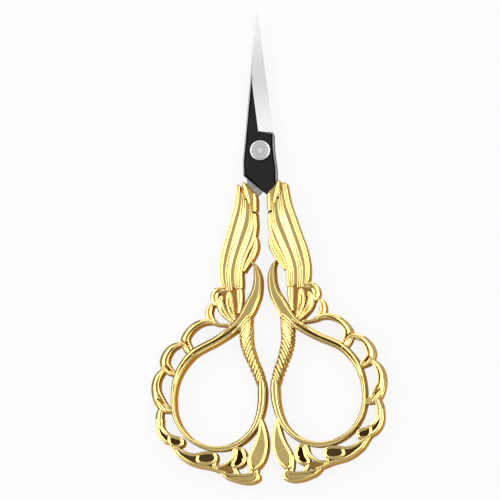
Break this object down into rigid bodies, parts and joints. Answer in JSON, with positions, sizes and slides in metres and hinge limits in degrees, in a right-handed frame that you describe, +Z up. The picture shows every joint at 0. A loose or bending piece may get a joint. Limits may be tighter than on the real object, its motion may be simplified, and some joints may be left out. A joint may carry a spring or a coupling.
{
  "type": "embroidery scissors",
  "caption": "Embroidery scissors with slim pointed blades, a turned pivot and pierced cast handles with feathers, a rope twist and scalloped finger bows.",
  "frame": {"origin": "middle of the closed scissors' footprint, on the surface that they lie on", "axes": "+Y towards the blades' tips, +Z up out of the surface, through the pivot head"},
  "size_m": [0.064, 0.1276, 0.0058],
  "materials": {
    "blade_steel": "satin, with a black coating on the outer face",
    "gold_plate": "polished",
    "pivot_steel": "satin"
  },
  "bodies": {
    "front_half": {"front_blade": "blade_steel", "right_handle": "gold_plate", "pivot_barrel": "pivot_steel", "pivot_screw": "pivot_steel"},
    "rear_half": {"rear_blade": "blade_steel", "left_handle": "gold_plate"}
  },
  "joints": [
    {"name": "pivot", "type": "hinge", "parent": "front_half", "child": "rear_half", "pos_m": [0, 0.0262, 0.0029], "axis": [0, 0, -1], "range_deg": [0, 90]}
  ]
}
